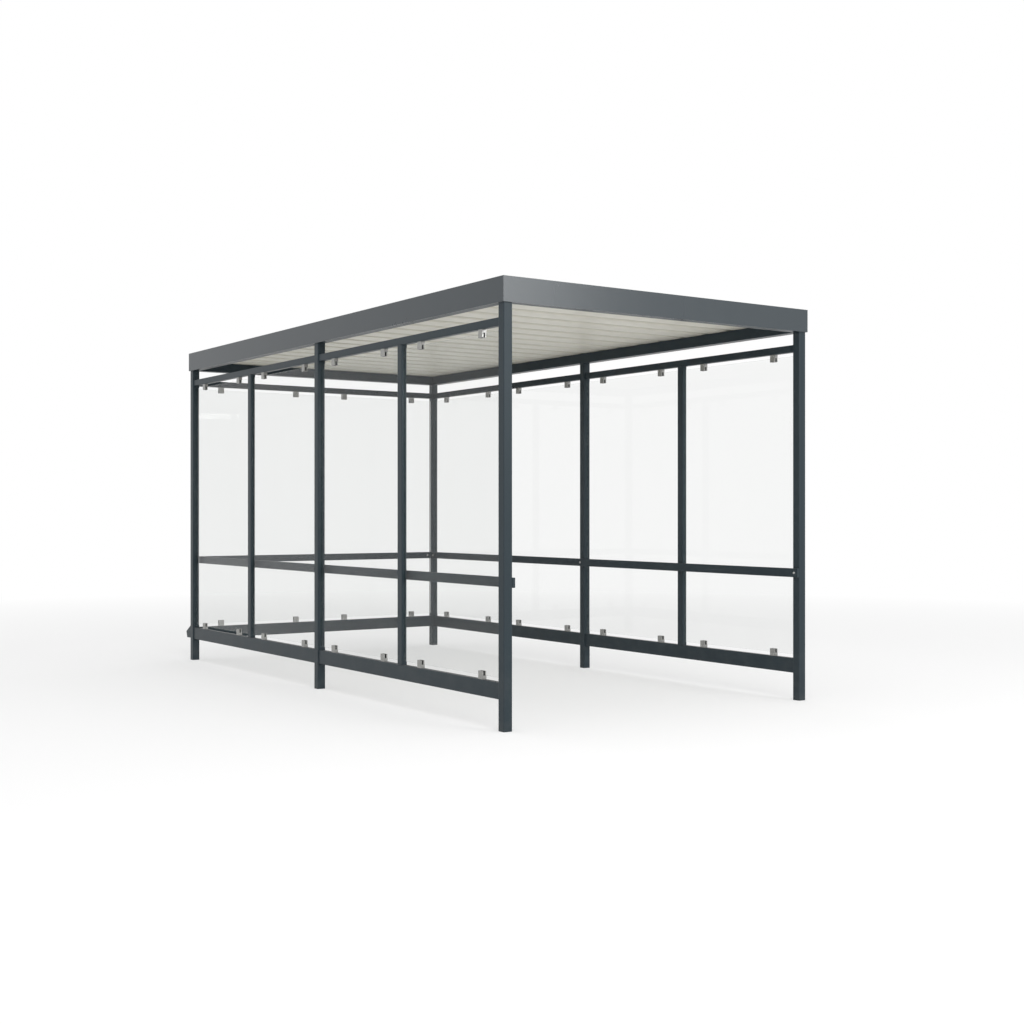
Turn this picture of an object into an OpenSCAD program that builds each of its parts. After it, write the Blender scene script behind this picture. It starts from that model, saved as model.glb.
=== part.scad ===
// Flat-roofed shelter for parked shopping carts: a square-tube steel frame
// with glass on three sides and one open short side. Millimetres, +Z up,
// -Y is the open front. The model starts at ground level.

/* [Overall] */
// Width over the roof edge trim
roof_w = 2500; // [1900:10:3200]
// Length over the roof edge trim, front to back
roof_l = 4900; // [3900:10:6000]
// Height from the ground to the top of the edge trim
roof_h = 2660; // [2300:10:3200]

/* [Posts] */
// Side of the square posts
post_w = 60; // [50:5:100]
// Wall of the post tube
post_t = 3; // [2:0.5:5]
// Outer corner radius of every steel tube but the bump rail
tube_r = 5; // [3:0.5:8]

/* [Roof beams] */
// Height of the beams that lie on the posts
beam_h = 80; // [60:5:140]
// Wall of the beam tube
beam_t = 3; // [2:0.5:5]

/* [Edge trim] */
// Height of the folded sheet round the roof
trim_h = 152; // [130:1:220]
// Sheet thickness of the trim
trim_t = 2; // [1.5:0.5:4]
// How far the trim stands out past the posts
trim_out = 10; // [6:1:40]
// Depth of the flange along the trim's top
trim_top = 40; // [25:5:80]
// Height of the trim's inner hem, which lies on the beam
trim_hem = 24; // [16:1:50]

/* [Roof sheet] */
// Distance from one rib to the next
rib_pitch = 250; // [180:5:330]
// Width of a rib at the level of the pans
rib_foot = 80; // [60:5:110]
// Width of a rib's flat crown
rib_crown = 40; // [20:5:55]
// Height of the ribs
rib_h = 35; // [20:1:45]
// Sheet thickness
sheet_t = 1; // [0.8:0.1:2]
// Space between the sheet's edge and the trim
sheet_gap = 6; // [3:1:15]

/* [Wall rails] */
// Depth of the rails and mullions across the wall
rail_d = 40; // [30:5:45]
// How far the rails sit in from the posts' outer faces
rail_in = 8; // [6:1:12]
// Wall of the rail and mullion tubes
rail_t = 3; // [2:0.5:4]
// Height of the upper rails
upper_h = 50; // [40:5:80]
// Open height between the upper rails and the roof beams
upper_gap = 82; // [40:1:160]
// Height of the lower rails
lower_h = 100; // [60:5:140]
// Open height between the ground and the lower rails
lower_gap = 183; // [100:1:260]
// Width of the mullions along the wall
mullion_w = 60; // [40:5:80]

/* [Bump rail] */
// Height of the bump rail's tube
bump_h = 60; // [40:5:100]
// Depth of the bump rail's tube
bump_d = 20; // [15:1:30]
// Wall of the bump rail's tube
bump_t = 2; // [1.5:0.5:3]
// Outer corner radius of the bump rail's tube
bump_r = 3; // [2:0.5:5]
// Height of the bump rail's underside above the ground
bump_z = 839; // [500:1:1000]
// Thickness of the plates that close the bump rail's front ends
cap_t = 2; // [1:0.5:4]

/* [Glass] */
// Thickness of the panes
pane_t = 8; // [6:1:12]
// Gap between a pane and the rail above or below it
pane_gap = 25; // [15:1:40]
// Gap between a pane and the post or mullion beside it
pane_side = 5; // [3:1:20]

/* [Clamps] */
// Width of the clamps along the wall
clamp_w = 45; // [30:1:60]
// Depth of the clamps across the wall
clamp_d = 30; // [26:1:40]
// Height of the clamps from the rail to the tip of the jaws
clamp_h = 50; // [42:1:70]
// Distance of each clamp from the middle of its pane
clamp_off = 360; // [200:5:400]
// Thickness of the rubber between the jaws and the glass
gasket_t = 3; // [1:0.5:4]

/* [Rain spout] */
// Width of the spout
spout_w = 50; // [36:1:56]
// How far the spout's lip stands out from the post
spout_out = 105; // [60:5:140]
// Height of the spout's top edge at the post
spout_top = 300; // [240:5:420]
// Height of the spout's underside at the post
spout_base = 190; // [120:5:220]
// How far the spout's top falls from the post to the lip
spout_fall = 60; // [30:5:90]
// Height of the spout's slanted mouth
spout_mouth = 53; // [40:1:60]
// How far the mouth's foot lies behind its lip
spout_rake = 20; // [5:1:30]
// Wall of the spout
spout_t = 3; // [2:0.5:4]

/* [Hidden] */
$fn = 24;
eps = 1;

// Outer faces of the posts, measured from the middle of the frame
px = roof_w / 2 - trim_out;
py = roof_l / 2 - trim_out;
// Middle lines of the posts
cx = px - post_w / 2;
cy = py - post_w / 2;
// Levels
z_beam = roof_h - trim_h;
z_sheet = z_beam + beam_h;
z_upper = z_beam - upper_gap - upper_h;
z_lower = lower_gap;
z_lower_top = z_lower + lower_h;
// Middle plane of the rails, mullions, panes and clamps in the side walls and in the back wall
wall_x = px - rail_in - rail_d / 2;
wall_y = py - rail_in - rail_d / 2;
// Clear width between the posts of one side bay, and of the back wall
bay_l = cy - post_w;
back_l = 2 * cx - post_w;
// Panes: two to a bay, one each side of its mullion
side_pane_l = (bay_l - mullion_w) / 2 - 2 * pane_side;
back_pane_l = (back_l - mullion_w) / 2 - 2 * pane_side;
pane_h = z_upper - z_lower_top - 2 * pane_gap;
pane_z = z_lower_top + pane_gap;
// Distance from a mullion's middle to the middle of the panes beside it
side_pane_off = mullion_w / 2 + pane_side + side_pane_l / 2;
back_pane_off = mullion_w / 2 + pane_side + back_pane_l / 2;
// Middles of the side bays along the wall, front then rear
bay_y = [-cy / 2, cy / 2];
// Inner faces of the posts, where the bump rail is fixed
bump_x = px - post_w;
bump_y = py - post_w;
// The spout reaches past the trim, so the frame is set forward by half of that
// and the origin is in the middle of the whole footprint
home_y = -max(0, spout_out - trim_out) / 2;

steel = [0.24, 0.27, 0.30];
sheet_grey = [0.77, 0.76, 0.71];
glass = [0.80, 0.88, 0.86, 0.35];
satin = [0.72, 0.72, 0.70];
rubber = [0.07, 0.07, 0.07];

// ---- shared shapes ----

// Rectangle with round corners, centred
module round_rect(w, h, r) {
    square([w - 2 * r, h], center = true);
    square([w, h - 2 * r], center = true);
    for (sx = [-1, 1], sy = [-1, 1])
        translate([sx * (w / 2 - r), sy * (h / 2 - r)])
            circle(r = r);
}

// Section of a rectangular tube, centred
module tube_section(w, h, t, r) {
    difference() {
        round_rect(w, h, r);
        round_rect(w - 2 * t, h - 2 * t, max(r - t, 1));
    }
}

// Tube along Z, w in X and d in Y, standing on z = 0
module tube_z(w, d, l, t, r)
    linear_extrude(l)
        tube_section(w, d, t, r);

// Tube along Y from y = 0, w in X about x = 0, h in Z from z = 0
module tube_y(w, h, l, t, r)
    translate([0, l, h / 2])
        rotate([90, 0, 0])
            linear_extrude(l)
                tube_section(w, h, t, r);

// Tube along X from x = 0, d in Y about y = 0, h in Z from z = 0
module tube_x(d, h, l, t, r)
    translate([0, 0, h / 2])
        rotate([90, 0, 90])
            linear_extrude(l)
                tube_section(d, h, t, r);

// Everything stands in the frame's own middle, then goes to its place
module home()
    translate([0, home_y, 0])
        children();

// A wall piece drawn for the left wall, on the side given: -1 left, 1 right
module on_side(side)
    home()
        if (side < 0) children();
        else mirror([1, 0, 0]) children();

// ---- posts ----

module post(x, y)
    color(steel)
        home()
            translate([x, y, 0])
                tube_z(post_w, post_w, z_beam, post_t, tube_r);

// The rear left post carries rain water down, and opens behind the spout
module rain_post()
    difference() {
        post(-cx, cy);
        home()
            translate([-cx - spout_w / 2 + 2 * spout_t, py - post_t - eps, spout_base + 2 * spout_t])
                cube([
                    spout_w - 4 * spout_t,
                    post_t + 2 * eps,
                    spout_top - spout_base - 6 * spout_t
                ]);
    }

// ---- roof ----

// Long beams run the full length over the posts
module beam_side(side)
    color(steel)
        on_side(side)
            translate([-cx, -py, z_beam])
                tube_y(post_w, beam_h, 2 * py, beam_t, tube_r);

// Cross beams fit between the long ones
module beam_cross(y)
    color(steel)
        home()
            translate([-px + post_w, y, z_beam])
                tube_x(post_w, beam_h, 2 * (px - post_w), beam_t, tube_r);

sheet_x = roof_w / 2 - trim_t - sheet_gap;
sheet_y = roof_l / 2 - trim_t - sheet_gap;
// Ribs each side of the middle one, as many as leave a flat pan over the end beams
ribs = floor((py - post_w - rib_foot / 2) / rib_pitch);
// Half the difference between the outside and the inside of a folded web
web_grow = sheet_t * tan(atan2(rib_h, (rib_foot - rib_crown) / 2) / 2);

function rib_line(grow, z) = [
    for (i = [-ribs : ribs], p = [
        [-rib_foot / 2 - grow, z],
        [-rib_crown / 2 - grow, z + rib_h],
        [rib_crown / 2 + grow, z + rib_h],
        [rib_foot / 2 + grow, z]
    ]) [i * rib_pitch + p[0], p[1]]
];
function reversed(v) = [for (i = [len(v) - 1 : -1 : 0]) v[i]];

// Ribbed steel sheet, ribs across the width, pans lying on the beams
module roof_sheet()
    color(sheet_grey)
        home()
            translate([-sheet_x, 0, z_sheet])
                rotate([90, 0, 90])
                    linear_extrude(2 * sheet_x)
                        polygon(concat(
                            [[-sheet_y, 0]],
                            rib_line(0, 0),
                            [[sheet_y, 0], [sheet_y, sheet_t]],
                            reversed(rib_line(web_grow, sheet_t)),
                            [[-sheet_y, sheet_t]]
                        ));

// Folded section of the trim: x is the distance in from its outer face, y is height
module trim_section() {
    square([trim_t, trim_h]);
    square([trim_out, trim_t]);
    translate([trim_out - trim_t, 0])
        square([trim_t, trim_hem]);
    translate([0, trim_h - trim_t])
        square([trim_top, trim_t]);
}

// One side of the trim, l long, mitred at both ends, along Y from its outer face at x = 0
module trim_run(l)
    intersection() {
        translate([0, l / 2, 0])
            rotate([90, 0, 0])
                linear_extrude(l)
                    trim_section();
        translate([0, 0, -eps])
            linear_extrude(trim_h + 2 * eps)
                polygon([
                    [0, -l / 2],
                    [trim_top + eps, -l / 2 + trim_top + eps],
                    [trim_top + eps, l / 2 - trim_top - eps],
                    [0, l / 2]
                ]);
    }

module trim_side(side)
    color(steel)
        on_side(side)
            translate([-roof_w / 2, 0, z_beam])
                trim_run(roof_l);

module trim_end(turn)
    color(steel)
        home()
            rotate([0, 0, turn])
                translate([-roof_l / 2, 0, z_beam])
                    trim_run(roof_w);

// ---- walls ----

// Rail of a side bay, from post to post
module rail_side(side, bay, z, h)
    color(steel)
        on_side(side)
            translate([-wall_x, bay_y[bay] - bay_l / 2, z])
                tube_y(rail_d, h, bay_l, rail_t, tube_r);

module rail_back(z, h)
    color(steel)
        home()
            translate([-back_l / 2, wall_y, z])
                tube_x(rail_d, h, back_l, rail_t, tube_r);

module mullion_side(side, bay)
    color(steel)
        on_side(side)
            translate([-wall_x, bay_y[bay], z_lower_top])
                tube_z(rail_d, mullion_w, z_upper - z_lower_top, rail_t, tube_r);

module mullion_back()
    color(steel)
        home()
            translate([0, wall_y, z_lower_top])
                tube_z(mullion_w, rail_d, z_upper - z_lower_top, rail_t, tube_r);

// ---- bump rail ----

// From the front face of the front post to the back wall's posts
module bump_side(side)
    color(steel)
        on_side(side)
            translate([-bump_x + bump_d / 2, -py + cap_t, bump_z])
                tube_y(bump_d, bump_h, py - cap_t + bump_y, bump_t, bump_r);

module bump_back()
    color(steel)
        home()
            translate([-bump_x + bump_d, bump_y - bump_d / 2, bump_z])
                tube_x(bump_d, bump_h, 2 * (bump_x - bump_d), bump_t, bump_r);

// Plates on the two open front ends
module bump_caps()
    color(steel)
        for (side = [-1, 1])
            on_side(side)
                translate([-bump_x + bump_d / 2, -py + cap_t, bump_z + bump_h / 2])
                    rotate([90, 0, 0])
                        linear_extrude(cap_t)
                            round_rect(bump_d, bump_h, bump_r);

// ---- glass and clamps ----

// A pane standing along Y, centred
module pane(l)
    translate([-pane_t / 2, -l / 2, pane_z])
        cube([pane_t, l, pane_h]);

// Section of a clamp across the wall, standing on its rail: a foot and two jaws
module clamp_section() {
    slot = pane_t + 2 * gasket_t;
    difference() {
        translate([-clamp_d / 2, 0])
            square([clamp_d, clamp_h]);
        translate([-slot / 2, pane_gap - gasket_t])
            square([slot, clamp_h]);
    }
}

// Rubber lining of the slot
module gasket_section() {
    slot = pane_t + 2 * gasket_t;
    difference() {
        translate([-slot / 2, pane_gap - gasket_t])
            square([slot, clamp_h - pane_gap + gasket_t]);
        translate([-pane_t / 2, pane_gap])
            square([pane_t, clamp_h]);
    }
}

// Four copies round a pane: two up from the lower rail, two down from the upper rail
module round_pane()
    for (s = [-1, 1]) {
        translate([0, s * clamp_off + clamp_w / 2, z_lower_top])
            rotate([90, 0, 0])
                linear_extrude(clamp_w)
                    children();
        translate([0, s * clamp_off + clamp_w / 2, z_upper])
            mirror([0, 0, 1])
                rotate([90, 0, 0])
                    linear_extrude(clamp_w)
                        children();
    }

// What belongs to each pane of a side wall, drawn along Y about its middle
module each_side_pane(side)
    on_side(side)
        for (y = bay_y, s = [-1, 1])
            translate([-wall_x, y + s * side_pane_off, 0])
                children();

module each_back_pane()
    home()
        for (s = [-1, 1])
            translate([s * back_pane_off, wall_y, 0])
                rotate([0, 0, 90])
                    children();

module panes_side(side)
    color(glass)
        each_side_pane(side)
            pane(side_pane_l);

module panes_back()
    color(glass)
        each_back_pane()
            pane(back_pane_l);

module clamps_side(side)
    color(satin)
        each_side_pane(side)
            round_pane()
                clamp_section();

module clamps_back()
    color(satin)
        each_back_pane()
            round_pane()
                clamp_section();

module gaskets_side(side)
    color(rubber)
        each_side_pane(side)
            round_pane()
                gasket_section();

module gaskets_back()
    color(rubber)
        each_back_pane()
            round_pane()
                gasket_section();

// ---- rain spout ----

// Heights of the spout's inner top and inner floor at a distance out from the post
spout_slope = spout_fall / spout_out;
spout_foot = spout_top - spout_fall - spout_mouth;
floor_slope = (spout_base - spout_foot) / (spout_out - spout_rake);
function spout_roof(y) = spout_top - spout_slope * y - spout_t * sqrt(1 + spout_slope * spout_slope);
function spout_floor(y) = spout_base - floor_slope * y + spout_t;

// Folded chute on the rear left post, open towards the back
module rain_spout()
    color(steel)
        home()
            translate([-cx - spout_w / 2, py, 0])
                difference() {
                    rotate([90, 0, 90])
                        linear_extrude(spout_w)
                            polygon([
                                [0, spout_base],
                                [spout_out - spout_rake, spout_foot],
                                [spout_out, spout_foot + spout_mouth],
                                [0, spout_top]
                            ]);
                    translate([spout_t, 0, 0])
                        rotate([90, 0, 90])
                            linear_extrude(spout_w - 2 * spout_t)
                                polygon([
                                    [-eps, spout_floor(-eps)],
                                    [spout_out + eps, spout_floor(spout_out + eps)],
                                    [spout_out + eps, spout_roof(spout_out + eps)],
                                    [-eps, spout_roof(-eps)]
                                ]);
                }

post(-cx, -cy);  // post_front_left
post(-cx, 0);  // post_mid_left
rain_post();  // post_rear_left
post(cx, -cy);  // post_front_right
post(cx, 0);  // post_mid_right
post(cx, cy);  // post_rear_right
beam_side(-1);  // roof_beam_left
beam_side(1);  // roof_beam_right
beam_cross(-cy);  // roof_beam_front
beam_cross(cy);  // roof_beam_back
roof_sheet();
trim_side(-1);  // edge_trim_left
trim_side(1);  // edge_trim_right
trim_end(90);  // edge_trim_front
trim_end(-90);  // edge_trim_back
rail_side(-1, 0, z_upper, upper_h);  // upper_rail_left_front
rail_side(-1, 1, z_upper, upper_h);  // upper_rail_left_rear
rail_side(1, 0, z_upper, upper_h);  // upper_rail_right_front
rail_side(1, 1, z_upper, upper_h);  // upper_rail_right_rear
rail_back(z_upper, upper_h);  // upper_rail_back
rail_side(-1, 0, z_lower, lower_h);  // lower_rail_left_front
rail_side(-1, 1, z_lower, lower_h);  // lower_rail_left_rear
rail_side(1, 0, z_lower, lower_h);  // lower_rail_right_front
rail_side(1, 1, z_lower, lower_h);  // lower_rail_right_rear
rail_back(z_lower, lower_h);  // lower_rail_back
mullion_side(-1, 0);  // mullion_left_front
mullion_side(-1, 1);  // mullion_left_rear
mullion_side(1, 0);  // mullion_right_front
mullion_side(1, 1);  // mullion_right_rear
mullion_back();
bump_side(-1);  // bump_rail_left
bump_side(1);  // bump_rail_right
bump_back();  // bump_rail_back
bump_caps();  // bump_rail_caps
panes_side(-1);  // glass_panes_left
panes_side(1);  // glass_panes_right
panes_back();  // glass_panes_back
clamps_side(-1);  // glass_clamps_left
clamps_side(1);  // glass_clamps_right
clamps_back();  // glass_clamps_back
gaskets_side(-1);  // clamp_gaskets_left
gaskets_side(1);  // clamp_gaskets_right
gaskets_back();  // clamp_gaskets_back
rain_spout();
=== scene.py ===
import math
import random

import bpy
from mathutils import Matrix, Vector


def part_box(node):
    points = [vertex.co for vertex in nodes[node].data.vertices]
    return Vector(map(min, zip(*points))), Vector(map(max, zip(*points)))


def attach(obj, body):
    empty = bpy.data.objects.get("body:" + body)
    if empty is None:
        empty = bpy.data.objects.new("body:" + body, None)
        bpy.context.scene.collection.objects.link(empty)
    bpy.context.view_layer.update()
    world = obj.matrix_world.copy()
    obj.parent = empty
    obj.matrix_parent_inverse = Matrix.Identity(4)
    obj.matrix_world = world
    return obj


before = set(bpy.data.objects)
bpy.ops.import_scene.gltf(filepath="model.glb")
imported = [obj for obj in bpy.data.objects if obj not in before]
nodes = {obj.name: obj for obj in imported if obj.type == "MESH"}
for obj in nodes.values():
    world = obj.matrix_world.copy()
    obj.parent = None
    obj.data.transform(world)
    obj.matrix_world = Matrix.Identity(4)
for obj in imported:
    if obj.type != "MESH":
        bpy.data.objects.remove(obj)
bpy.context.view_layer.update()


# ---- Posts ----
# Six square steel tubes, 60 mm wide with a 3 mm wall, set in the ground and
# powder coated slate grey. The coat has a faint orange peel, rain-splashed
# dirt near the ground and dust on every face that looks up.

class Wire:
    """An output of a shader node that takes part in sums."""

    def __init__(self, look, socket):
        self.look = look
        self.socket = socket

    def sum(self, operation, first, second):
        return self.look.add("ShaderNodeMath", {"operation": operation}, {0: first, 1: second})

    def __add__(self, other):
        return self.sum("ADD", self, other)

    def __radd__(self, other):
        return self.sum("ADD", other, self)

    def __sub__(self, other):
        return self.sum("SUBTRACT", self, other)

    def __rsub__(self, other):
        return self.sum("SUBTRACT", other, self)

    def __mul__(self, other):
        return self.sum("MULTIPLY", self, other)

    def __rmul__(self, other):
        return self.sum("MULTIPLY", other, self)


class Look:
    """The nodes of one finish."""

    def __init__(self, owner):
        owner.use_nodes = True
        self.tree = owner.node_tree
        self.tree.nodes.clear()

    def add(self, kind, settings, sockets, out=0):
        """Adds a node, sets its settings first, then the values or links of its sockets."""
        node = self.tree.nodes.new(kind)
        for name, value in settings.items():
            setattr(node, name, value)
        for key, value in sockets.items():
            if isinstance(value, Wire):
                self.tree.links.new(value.socket, node.inputs[key])
            else:
                node.inputs[key].default_value = value
        return Wire(self, node.outputs[out]) if len(node.outputs) else None

    def place(self):
        return self.add("ShaderNodeTexCoord", {}, {}, "Object")

    def stretched(self, factors):
        """The place on the piece, with each axis scaled, for streaks and brushing."""
        return self.add("ShaderNodeVectorMath", {"operation": "MULTIPLY"},
                        {0: self.place(), 1: factors})

    def along(self, vector, axis):
        return self.add("ShaderNodeSeparateXYZ", {}, {0: vector}, axis)

    def facing(self, axis):
        return self.along(self.add("ShaderNodeNewGeometry", {}, {}, "Normal"), axis)

    def noise(self, vector, scale, detail=3.0):
        return self.add("ShaderNodeTexNoise", {}, {"Vector": vector, "Scale": scale, "Detail": detail})

    def ramp(self, value, low, high, start=0.0, end=1.0):
        """Runs from start to end while value runs from low to high."""
        return self.add("ShaderNodeMapRange", {"clamp": True},
                        {"Value": value, "From Min": low, "From Max": high,
                         "To Min": start, "To Max": end})

    def blend(self, factor, first, second):
        return self.add("ShaderNodeMix", {"data_type": "RGBA"},
                        {0: factor, 6: first, 7: second}, 2)

    def bump(self, height, strength, distance):
        return self.add("ShaderNodeBump", {},
                        {"Height": height, "Strength": strength, "Distance": distance})

    def surface(self, shader):
        self.add("ShaderNodeOutputMaterial", {}, {"Surface": shader})


def shade(colour, factor=1.0):
    return (colour[0] * factor, colour[1] * factor, colour[2] * factor, 1.0)


ROAD_DUST = (0.17, 0.165, 0.155)


def slate_coat(name, colour, roughness, streak=None):
    """Semi-gloss coat; streak gives the axis scales of rubbed scratches."""
    material = bpy.data.materials.new(name)
    look = Look(material)
    place = look.place()
    cloud = look.noise(place, 1.4)
    speckle = look.noise(place, 11.0, 6.0)
    near_ground = look.ramp(look.along(place, "Z"), 0.0, 0.5, 1.0, 0.0)
    dirt = near_ground * look.ramp(speckle, 0.42, 0.7) * 0.12
    dirt = dirt + look.ramp(look.facing("Z"), 0.6, 0.95) * 0.22 + 0.01
    tone = look.blend(cloud, shade(colour, 0.9), shade(colour, 1.1))
    tone = look.blend(dirt, tone, shade(ROAD_DUST))
    rough = dirt * 0.35 + cloud * 0.10 + (roughness - 0.05)
    peel = look.noise(place, 620.0, 2.0)
    if streak:
        scratch = look.ramp(look.noise(look.stretched(streak), 1.0, 5.0), 0.60, 0.72)
        tone = look.blend(scratch * 0.5, tone, shade((0.09, 0.10, 0.11)))
        rough = rough + scratch * 0.15
        peel = peel - scratch * 0.6
    look.surface(look.add("ShaderNodeBsdfPrincipled", {}, {
        "Base Color": tone, "Roughness": rough, "Specular IOR Level": 0.20,
        "Normal": look.bump(peel, 0.12, 0.0003)}))
    return material


def coat(names, material):
    """Gives the carried-over parts their finish."""
    for name in names:
        for slot in nodes[name].material_slots:
            slot.link = "OBJECT"
            slot.material = material


POSTS = ["post_front_left", "post_mid_left", "post_rear_left",
         "post_front_right", "post_mid_right", "post_rear_right"]
SLATE = (0.022, 0.034, 0.042)
frame_coat = slate_coat("slate powder coat", SLATE, 0.36)
coat(POSTS, frame_coat)


# ---- Roof beams ----
# Rectangular steel tubes laid on the posts and welded to them all round. The
# weld is a row of overlapping drops, coated with the rest of the frame.

BEAMS = ["roof_beam_left", "roof_beam_right", "roof_beam_front", "roof_beam_back"]
WELD_RADIUS = 0.0021
WELD_STEP = 0.0042
WELD_SIDES = 7
dice = random.Random(20)


def solid_piece(name, parts, material, crease=35):
    """Joins (vertices, faces) parts into one piece that rides with the shelter."""
    vertices, faces = [], []
    for some_vertices, some_faces in parts:
        start = len(vertices)
        vertices += [tuple(v) for v in some_vertices]
        faces += [tuple(start + i for i in face) for face in some_faces]
    mesh = bpy.data.meshes.new(name)
    mesh.from_pydata(vertices, [], faces)
    mesh.validate()
    mesh.shade_smooth()
    mesh.set_sharp_from_angle(angle=math.radians(crease))
    mesh.materials.append(material)
    piece = bpy.data.objects.new(name, mesh)
    bpy.context.scene.collection.objects.link(piece)
    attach(piece, "root")
    return piece


def skin(rings):
    """Closed rings of points, joined one to the next and shut at both ends."""
    count = len(rings[0])
    faces = [tuple(reversed(range(count)))]
    for k in range(len(rings) - 1):
        for i in range(count):
            j = (i + 1) % count
            faces.append((k * count + i, k * count + j, (k + 1) * count + j, (k + 1) * count + i))
    faces.append(tuple((len(rings) - 1) * count + i for i in range(count)))
    return [p for ring in rings for p in ring], faces


def weld(start, end):
    """One run of weld between two points, with a swell at every drop."""
    start, end = Vector(start), Vector(end)
    run = end - start
    ahead = run.normalized()
    side = ahead.orthogonal().normalized()
    other = ahead.cross(side)
    steps = max(4, int(run.length / WELD_STEP) * 2)
    rings = []
    for k in range(steps + 1):
        size = WELD_RADIUS * ((1.12 if k % 2 else 0.86) + dice.uniform(-0.06, 0.06))
        if k in (0, steps):
            size *= 0.35
        middle = start + run * (k / steps)
        rings.append([middle + size * (math.cos(a) * side + math.sin(a) * other)
                      for a in (2 * math.pi * i / WELD_SIDES for i in range(WELD_SIDES))])
    return skin(rings)


def weld_round(low, high, axis, level, inset=0.004):
    """Welds round the outline of a tube that meets a face at one level of an axis."""
    u, v = [i for i in range(3) if i != axis]
    runs = []
    for fixed, free in ((u, v), (v, u)):
        for edge in (low[fixed], high[fixed]):
            a, b = [0.0] * 3, [0.0] * 3
            a[axis] = b[axis] = level
            a[fixed] = b[fixed] = edge
            a[free] = low[free] + inset
            b[free] = high[free] - inset
            runs.append(weld(a, b))
    return runs


coat(BEAMS, frame_coat)
post_welds = []
for name in POSTS:
    low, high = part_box(name)
    post_welds += weld_round(low, high, 2, high[2])
solid_piece("post_welds", post_welds, frame_coat)


# ---- Wall rails and mullions ----
# Upper and lower rails between the posts, with a mullion in the middle of each
# bay. They are 40 mm deep tubes set back from the post faces and welded in.

SIDE_BAYS = ["left_front", "left_rear", "right_front", "right_rear"]
RAILS = [f"{level}_rail_{bay}" for level in ("upper", "lower") for bay in SIDE_BAYS + ["back"]]
MULLIONS = [f"mullion_{bay}" for bay in SIDE_BAYS + ["back"]]

coat(RAILS + MULLIONS, frame_coat)
rail_welds = []
for name in RAILS:
    low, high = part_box(name)
    axis = 0 if name.endswith("back") else 1
    for level in (low[axis], high[axis]):
        rail_welds += weld_round(low, high, axis, level)
solid_piece("rail_welds", rail_welds, frame_coat)
mullion_welds = []
for name in MULLIONS:
    low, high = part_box(name)
    for level in (low[2], high[2]):
        mullion_welds += weld_round(low, high, 2, level)
solid_piece("mullion_welds", mullion_welds, frame_coat)


# ---- Bump rail ----
# A flat steel tube round the inside at cart height, closed by cap plates at the
# front and held to each post by domed bolts. Carts rub long scratches into it.

BOLT_ROWS = [(0.0085, 0.0, 0), (0.0085, 0.0012, 0), (0.0078, 0.0028, 0), (0.0060, 0.0042, 0),
             (0.0036, 0.0051, 0), (0.0024, 0.0053, 1), (0.0022, 0.0034, 1)]
BOLT_FROM_END = 0.045


def turned(rows, sides=24):
    """A head turned about +Z. Each row is radius, height, and 1 where it is six-sided."""
    rings = []
    for radius, height, six in rows:
        ring = []
        for i in range(sides):
            angle = 2 * math.pi * i / sides
            reach = radius
            if six:
                reach /= math.cos((angle % (math.pi / 3)) - math.pi / 6)
            ring.append(Vector((reach * math.cos(angle), reach * math.sin(angle), height)))
        rings.append(ring)
    return skin(rings)


def set_at(shape, point, direction):
    """Stands a turned shape on a point, with its head in a direction."""
    turn = Vector((0, 0, 1)).rotation_difference(Vector(direction)).to_matrix().to_4x4()
    move = Matrix.Translation(Vector(point)) @ turn
    return [move @ v for v in shape[0]], shape[1]


def soften(names, width, segments=2):
    """Breaks the sharp edges of carried-over parts."""
    for name in names:
        edge = nodes[name].modifiers.new("broken edges", "BEVEL")
        edge.width = width
        edge.segments = segments
        edge.limit_method = "ANGLE"
        edge.angle_limit = math.radians(40)


side_rub = slate_coat("rubbed slate coat, lengthwise", SLATE, 0.38, (60.0, 1.6, 90.0))
back_rub = slate_coat("rubbed slate coat, crosswise", SLATE, 0.38, (1.6, 60.0, 90.0))
coat(["bump_rail_left", "bump_rail_right"], side_rub)
coat(["bump_rail_back"], back_rub)
coat(["bump_rail_caps"], frame_coat)
soften(["bump_rail_caps"], 0.0006)
bolt = turned(BOLT_ROWS)
rail_bolts = []
for side, post_names in (("left", POSTS[:3]), ("right", POSTS[3:])):
    low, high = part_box(f"bump_rail_{side}")
    inward = 1 if side == "left" else -1
    face = high[0] if inward > 0 else low[0]
    for name in post_names:
        post_low, post_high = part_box(name)
        along = (max(post_low[1], low[1]) + min(post_high[1], high[1])) / 2
        if post_high[1] > high[1]:
            along = high[1] - BOLT_FROM_END
        rail_bolts.append(set_at(bolt, (face, along, (low[2] + high[2]) / 2), (inward, 0, 0)))
low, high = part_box("bump_rail_back")
for across in (low[0] + BOLT_FROM_END, high[0] - BOLT_FROM_END):
    rail_bolts.append(set_at(bolt, (across, low[1], (low[2] + high[2]) / 2), (0, -1, 0)))


def bare_metal(name, colour, roughness, brush):
    """Satin metal, brushed along the axis with the smallest scale."""
    material = bpy.data.materials.new(name)
    look = Look(material)
    grain = look.noise(look.stretched(brush), 1.0, 4.0)
    stain = look.ramp(look.noise(look.place(), 30.0, 5.0), 0.5, 0.8)
    tone = look.blend(grain, shade(colour, 0.86), shade(colour, 1.08))
    tone = look.blend(stain * 0.25, tone, shade((0.22, 0.21, 0.19)))
    look.surface(look.add("ShaderNodeBsdfPrincipled", {}, {
        "Base Color": tone, "Metallic": 1.0 - stain * 0.3,
        "Roughness": grain * 0.16 + stain * 0.15 + roughness,
        "Normal": look.bump(grain, 0.10, 0.0002)}))
    return material


bolt_metal = bare_metal("stainless fixings", (0.52, 0.52, 0.51), 0.24, (300.0, 300.0, 300.0))
solid_piece("bump_rail_bolts", rail_bolts, bolt_metal)


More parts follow.
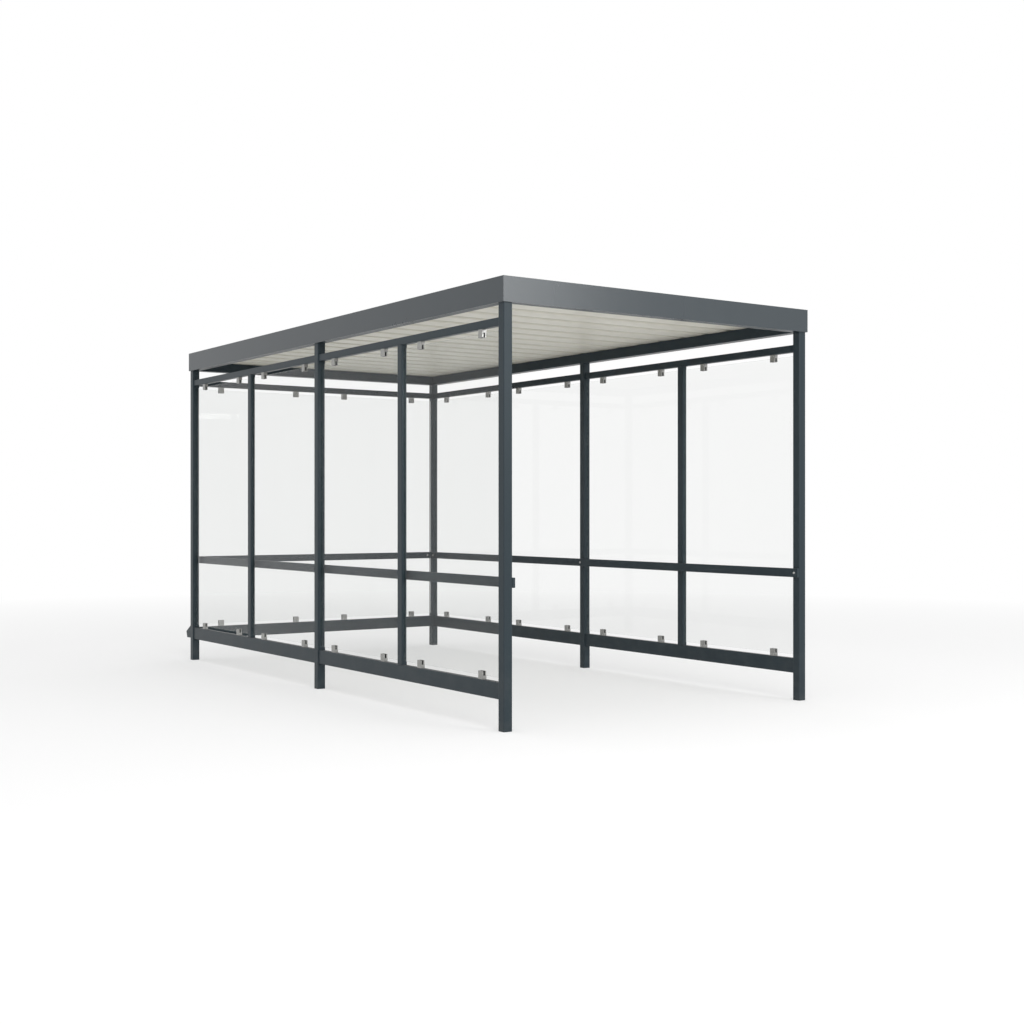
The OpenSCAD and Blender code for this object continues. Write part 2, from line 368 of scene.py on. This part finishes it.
# ---- Roof sheet ----
# Ribbed steel sheet in a light coil coat, laid across the beams and lapped at
# every fourth rib. Hex-headed screws with washers hold the pans and the laps,
# and the ribs' hollow undersides are darkened with painted shade.

RIB_PITCH = 0.250
RIB_FOOT = 0.080
RIB_CROWN = 0.040
LAP_EVERY = 4
LAP_THICK = 0.0007
LAP_INSET = 0.002
LAP_ONTO_PAN = 0.018
LAP_SCREWS_AT = (-0.9, -0.45, 0.0, 0.45, 0.9)
SHEET_THICK = 0.001
WASHER_ROWS = [(0.0080, 0.0, 0), (0.0080, 0.0012, 0), (0.0062, 0.0020, 0), (0.0058, 0.0021, 0),
               (0.0040, 0.0022, 1), (0.0040, 0.0062, 1), (0.0034, 0.0068, 1)]

low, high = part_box("roof_sheet")
sheet_coat = bpy.data.materials.new("light coil coat")
look = Look(sheet_coat)
cloud = look.noise(look.place(), 1.1, 4.0)
streaks = look.noise(look.stretched((0.7, 16.0, 4.0)), 1.0, 4.0)
weather = look.ramp(look.facing("Z"), 0.2, 0.8) * look.ramp(cloud + streaks, 0.8, 1.3)
tone = look.blend(streaks, shade((0.63, 0.605, 0.525)), shade((0.75, 0.725, 0.64)))
tone = look.blend(weather * 0.45, tone, shade((0.27, 0.26, 0.23)))
# Painted shade: the hollow undersides of the ribs are darkened in their colour, as if shaded.
in_rib = look.ramp(look.along(look.place(), "Z"), low[2] + 0.003, low[2] + 0.022)
painted_rib_shade = in_rib * look.ramp(look.facing("Z"), -0.1, 0.1, 1.0, 0.0)
tone = look.blend(painted_rib_shade * 0.42, tone, shade((0.15, 0.15, 0.125)))
look.surface(look.add("ShaderNodeBsdfPrincipled", {}, {
    "Base Color": tone, "Roughness": weather * 0.25 + cloud * 0.10 + 0.34,
    "Normal": look.bump(look.noise(look.place(), 480.0, 2.0), 0.08, 0.0003)}))
coat(["roof_sheet"], sheet_coat)

sheet_middle = (low[1] + high[1]) / 2
rib_top = high[2]
beam_low, beam_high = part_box("roof_beam_left")
pan_top = beam_high[2] + SHEET_THICK
screw_lines = [(beam_low[0] + beam_high[0]) / 2, -(beam_low[0] + beam_high[0]) / 2]
half_ribs = int((high[1] - sheet_middle) / RIB_PITCH)
roof_screw = turned(WASHER_ROWS)
roof_screws, laps = [], []
for k in range(-half_ribs, half_ribs + 1):
    rib = sheet_middle + k * RIB_PITCH
    if k < half_ribs:
        for line in screw_lines:
            roof_screws.append(set_at(roof_screw, (line, rib + RIB_PITCH / 2, pan_top), (0, 0, 1)))
    if k % LAP_EVERY == 0 and abs(k) < half_ribs:
        outline = [(-RIB_CROWN / 2 - 0.002, rib_top - 0.0035), (-RIB_CROWN / 2, rib_top),
                   (RIB_CROWN / 2, rib_top), (RIB_FOOT / 2, pan_top),
                   (RIB_FOOT / 2 + LAP_ONTO_PAN, pan_top)]
        section = outline + [(y, z + LAP_THICK) for y, z in reversed(outline)]
        laps.append(skin([[Vector((x, rib + y, z)) for y, z in section]
                          for x in (low[0] + LAP_INSET, high[0] - LAP_INSET)]))
        for x in LAP_SCREWS_AT:
            roof_screws.append(set_at(roof_screw, (x, rib, rib_top + LAP_THICK), (0, 0, 1)))
solid_piece("roof_laps", laps, sheet_coat, 20)
solid_piece("roof_screws", roof_screws, bolt_metal)


# ---- Edge trim ----
# Folded steel sheet that hides the roof's edge, mitred at the corners and
# riveted under its bottom lip. Rain leaves faint runs down its faces.

TRIMS = ["edge_trim_left", "edge_trim_right", "edge_trim_front", "edge_trim_back"]
RIVET_ROWS = [(0.0034, 0.0, 0), (0.0034, 0.0004, 0), (0.0027, 0.0010, 0), (0.0012, 0.0013, 0)]
RIVET_PITCH = 0.40
RIVET_INSET = 0.0055
ENDS_FREE = 0.2

trim_coat = bpy.data.materials.new("folded sheet coat")
look = Look(trim_coat)
place = look.place()
cloud = look.noise(place, 0.9, 1.0)
runs = look.ramp(look.noise(look.stretched((9.0, 9.0, 0.5)), 1.0, 2.0), 0.20, 0.90)
dust = look.ramp(look.facing("Z"), 0.6, 0.95) * 0.45 + runs * 0.03
tone = look.blend(cloud, shade((0.030, 0.040, 0.047)), shade((0.036, 0.047, 0.055)))
tone = look.blend(dust, tone, shade(ROAD_DUST))
peel = look.noise(place, 620.0, 2.0)
look.surface(look.add("ShaderNodeBsdfPrincipled", {}, {
    "Base Color": tone, "Roughness": dust * 0.30 + cloud * 0.08 + 0.24, "Specular IOR Level": 0.50,
    "Normal": look.bump(peel, 0.10, 0.0003)}))
coat(TRIMS, trim_coat)
soften(TRIMS, 0.0008)

rivet = turned(RIVET_ROWS, 16)
trim_rivets = []
for name in TRIMS:
    low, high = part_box(name)
    axis = 0 if name.endswith(("front", "back")) else 1
    count = int((high[axis] - low[axis] - ENDS_FREE) / RIVET_PITCH)
    middle = (high[axis] + low[axis]) / 2
    low_side = name.endswith(("left", "front"))
    line = low[1 - axis] + RIVET_INSET if low_side else high[1 - axis] - RIVET_INSET
    for k in range(count + 1):
        point = [0.0, 0.0, low[2]]
        point[axis] = middle + (k - count / 2) * RIVET_PITCH
        point[1 - axis] = line
        trim_rivets.append(set_at(rivet, point, (0, 0, -1)))
solid_piece("trim_rivets", trim_rivets, trim_coat)


# ---- Glass ----
# Toughened panes 8 mm thick, two to a bay, with ground edges. Light leaves the
# edges green, and a little dust stays above the bottom edge.

CLEAR = (0.925, 0.930, 0.926)
EDGE_GREEN = (0.10, 0.19, 0.165)
PANE_INDEX = 1.16


def pane_look(name, through):
    """Clear glass; through is the axis across the pane.

    Its index is well under real glass, which would mirror too much of an all-white room."""
    material = bpy.data.materials.new(name)
    look = Look(material)
    straight = look.facing(through)
    edge = 1.0 - look.ramp(straight * straight, 0.25, 0.6)
    film = look.ramp(look.along(look.place(), "Z"), 0.3, 0.8, 0.016, 0.004)
    film = film * look.ramp(look.noise(look.place(), 3.0, 6.0), 0.3, 0.7, 0.5, 1.5)
    clear = look.add("ShaderNodeBsdfPrincipled", {}, {
        "Base Color": look.blend(edge, shade(CLEAR), shade(EDGE_GREEN)),
        "Roughness": edge * 0.25, "IOR": PANE_INDEX, "Transmission Weight": 1.0})
    dusty = look.add("ShaderNodeBsdfDiffuse", {}, {"Color": shade((0.62, 0.63, 0.62))})
    body = look.add("ShaderNodeMixShader", {}, {0: film, 1: clear, 2: dusty})
    passing = look.add("ShaderNodeBsdfTransparent", {}, {"Color": shade((0.90, 0.908, 0.903))})
    ray = look.add("ShaderNodeLightPath", {}, {}, "Is Shadow Ray")
    bounce = look.add("ShaderNodeLightPath", {}, {}, "Is Diffuse Ray")
    look.surface(look.add("ShaderNodeMixShader", {}, {0: ray + bounce, 1: body, 2: passing}))
    return material


side_glass = pane_look("clear glass, side walls", "X")
back_glass = pane_look("clear glass, back wall", "Y")
coat(["glass_panes_left", "glass_panes_right"], side_glass)
coat(["glass_panes_back"], back_glass)
soften(["glass_panes_left", "glass_panes_right", "glass_panes_back"], 0.0008, 1)


# ---- Clamps ----
# Satin metal clamps, two above and two below each pane, bolted together from
# the inside through the solid foot.

CLAMPS = ["glass_clamps_left", "glass_clamps_right", "glass_clamps_back"]
FOOT_SCREW_UP = 0.011
FOOT_SCREW_APART = 0.012
CAP_SCREW_ROWS = [(0.0052, 0.0, 0), (0.0052, 0.0010, 0), (0.0046, 0.0022, 0), (0.0034, 0.0029, 0),
                  (0.0022, 0.0030, 1), (0.0020, 0.0014, 1)]


def separate_solids(name):
    """The boxes of the solids in one node, lowest corner and highest corner each."""
    mesh = nodes[name].data
    root = list(range(len(mesh.vertices)))

    def top(i):
        while root[i] != i:
            root[i] = root[root[i]]
            i = root[i]
        return i

    first_at = {}
    for v in mesh.vertices:
        spot = tuple(round(c, 5) for c in v.co)
        root[top(v.index)] = top(first_at.setdefault(spot, v.index))
    for e in mesh.edges:
        root[top(e.vertices[0])] = top(e.vertices[1])
    groups = {}
    for v in mesh.vertices:
        groups.setdefault(top(v.index), []).append(v.co)
    boxes = [([min(p[i] for p in g) for i in range(3)], [max(p[i] for p in g) for i in range(3)])
             for g in groups.values()]
    return sorted(boxes)


SATIN = (0.33, 0.33, 0.32)
clamp_metal = bare_metal("satin clamp metal", SATIN, 0.30, (40.0, 40.0, 900.0))
coat(CLAMPS, clamp_metal)
soften(CLAMPS, 0.0012)
cap_screw = turned(CAP_SCREW_ROWS)
half_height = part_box("post_mid_left")[1][2] / 2
for name, axis, inward in zip(CLAMPS, (0, 0, 1), (1, -1, -1)):
    heads = []
    for low, high in separate_solids(name):
        upper = low[2] > half_height
        level = high[2] - FOOT_SCREW_UP if upper else low[2] + FOOT_SCREW_UP
        for step in (-1, 1):
            point = [(low[i] + high[i]) / 2 for i in range(3)]
            point[2] = level
            point[1 - axis] += step * FOOT_SCREW_APART
            point[axis] = high[axis] if inward > 0 else low[axis]
            direction = [0, 0, 0]
            direction[axis] = inward
            heads.append(set_at(cap_screw, point, direction))
    solid_piece(name.replace("glass_clamps", "clamp_screws"), heads, bolt_metal)


# ---- Gaskets ----
# Black rubber channels between the clamp jaws and the glass, moulded with a
# matt skin that holds a little dust.

rubber = bpy.data.materials.new("moulded black rubber")
look = Look(rubber)
dust = look.ramp(look.noise(look.place(), 160.0, 5.0), 0.45, 0.8)
look.surface(look.add("ShaderNodeBsdfPrincipled", {}, {
    "Base Color": look.blend(dust * 0.4, shade((0.017, 0.017, 0.018)), shade((0.07, 0.068, 0.064))),
    "Roughness": dust * 0.15 + 0.70, "Specular IOR Level": 0.35,
    "Normal": look.bump(look.noise(look.place(), 900.0, 3.0), 0.25, 0.0003)}))
coat(["clamp_gaskets_left", "clamp_gaskets_right", "clamp_gaskets_back"], rubber)


# ---- Rain spout ----
# A folded steel chute welded behind the rear left post, where the roof's water
# leaves the tube. It is coated with the frame.

coat(["rain_spout"], frame_coat)
soften(["rain_spout"], 0.0006)
low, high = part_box("rain_spout")
solid_piece("spout_welds", weld_round(low, high, 1, low[1], 0.002), frame_coat)


# ---- Floor ----
# A pale studio floor that keeps the soft shadow of the shelter and runs out to
# plain white.

FLOOR_REACH = 60.0
floor_mesh = bpy.data.meshes.new("floor")
floor_mesh.from_pydata([(-FLOOR_REACH, -FLOOR_REACH, 0), (FLOOR_REACH, -FLOOR_REACH, 0),
                        (FLOOR_REACH, FLOOR_REACH, 0), (-FLOOR_REACH, FLOOR_REACH, 0)], [], [(0, 1, 2, 3)])
floor = bpy.data.objects.new("floor", floor_mesh)
bpy.context.scene.collection.objects.link(floor)
floor_paint = bpy.data.materials.new("pale floor")


def seen(look):
    """1 for what the camera sees, straight, in a gloss or through glass."""
    rays = [look.add("ShaderNodeLightPath", {}, {}, kind)
            for kind in ("Is Camera Ray", "Is Glossy Ray", "Is Transmission Ray")]
    return look.ramp(rays[0] + rays[1] + rays[2], 0.0, 1.0)


look = Look(floor_paint)
distance = look.add("ShaderNodeVectorMath", {"operation": "LENGTH"}, {0: look.place()}, "Value")
plain = look.add("ShaderNodeEmission", {}, {"Color": shade((1.0, 1.0, 1.0)), "Strength": 1.0})
matt = look.add("ShaderNodeBsdfDiffuse", {}, {"Color": shade((0.90, 0.90, 0.90))})
look.surface(look.add("ShaderNodeMixShader", {}, {
    0: seen(look) * look.ramp(distance, 5.0, 12.0, 0.45, 1.0), 1: matt, 2: plain}))
floor_mesh.materials.append(floor_paint)


# ---- Light ----
# An even white room, a broad lamp before the near corner, a smaller one to the
# right of it that glances off the front trim, and one overhead.

world = bpy.data.worlds.new("white room")
bpy.context.scene.world = world
look = Look(world)
look.add("ShaderNodeOutputWorld", {}, {"Surface": look.add("ShaderNodeBackground", {}, {
    "Color": shade((1.0, 1.0, 1.0)), "Strength": look.ramp(seen(look), 0.0, 1.0, 0.78, 1.0)})})


def lamp(name, place, aim, width, power):
    light = bpy.data.lights.new(name, "AREA")
    light.shape = "SQUARE"
    light.size = width
    light.energy = power
    holder = bpy.data.objects.new(name, light)
    holder.location = place
    holder.rotation_euler = (Vector(aim) - Vector(place)).to_track_quat("-Z", "Y").to_euler()
    bpy.context.scene.collection.objects.link(holder)


lamp("front lamp", (-3.0, -11.0, 6.0), (0, 0, 1.2), 6.0, 420.0)
lamp("right lamp", (3.4, -11.0, 4.4), (-1.2, -2.5, 2.5), 2.8, 215.0)
lamp("overhead lamp", (0, 0, 9.0), (0, 0, 0), 9.0, 150.0)


# ---- Camera ----
# A level camera 1.28 m above the ground, standing off the near corner so that
# the open front and the left wall both show.

camera = bpy.data.objects.new("camera", bpy.data.cameras.new("camera"))
camera.data.sensor_width = 36.0
camera.data.lens = 49.185
camera.data.clip_end = 200.0
camera.location = (-5.7904, -9.2382, 1.2830)
camera.rotation_euler = (math.radians(90), 0, math.radians(-34.315))
bpy.context.scene.collection.objects.link(camera)
bpy.context.scene.camera = camera
bpy.context.scene.view_settings.view_transform = "Standard"
